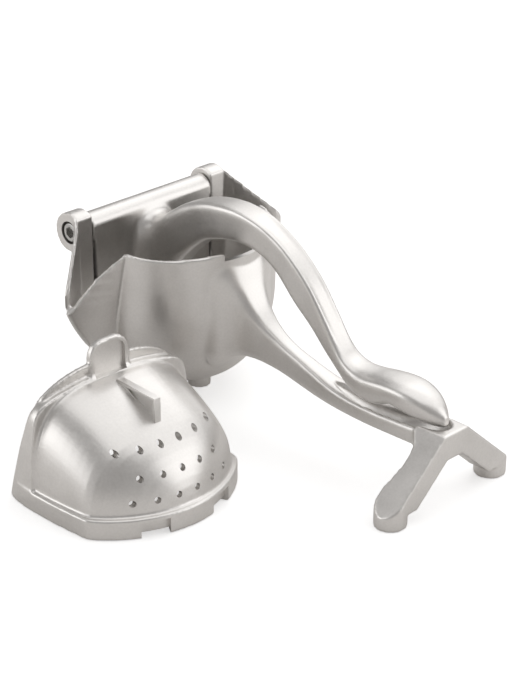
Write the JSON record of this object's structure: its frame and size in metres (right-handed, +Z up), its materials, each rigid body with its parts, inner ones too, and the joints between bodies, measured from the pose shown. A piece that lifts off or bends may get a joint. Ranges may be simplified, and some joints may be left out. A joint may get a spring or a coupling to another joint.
{
  "type": "hinged citrus squeezer",
  "caption": "Cast hand-press citrus squeezer: hopper cup with side spouts on a three-point stand, hinged press lever, and a lift-out domed strainer standing beside it.",
  "frame": {"origin": "middle of the underside of the rear peg foot, on the table", "axes": "+Z up from the table, +X from the hinge toward the handles' free ends, +Y across, toward the spout away from the strainer; the hinge axis is parallel to Y"},
  "size_m": [0.2105, 0.2062, 0.1004],
  "materials": {
    "cast_housing": "satin cast aluminium, polished over",
    "cast_lever": "satin cast aluminium, polished over",
    "cast_strainer": "satin cast aluminium, polished over",
    "screw_steel": "bright socket-head screw"
  },
  "bodies": {
    "base": {"housing": "cast_housing"},
    "lever": {"press_lever": "cast_lever", "hinge_screws": "screw_steel"},
    "strainer": {"strainer": "cast_strainer"}
  },
  "joints": [
    {"name": "lever_hinge", "type": "hinge", "parent": "base", "child": "lever", "pos_m": [-0.037, 0, 0.081], "axis": [0, -1, 0], "range_deg": [0, 120]},
    {"name": "strainer_lift", "type": "slide", "parent": "base", "child": "strainer", "axis": [0, 0, 1], "range_m": [0, 0.1]}
  ]
}
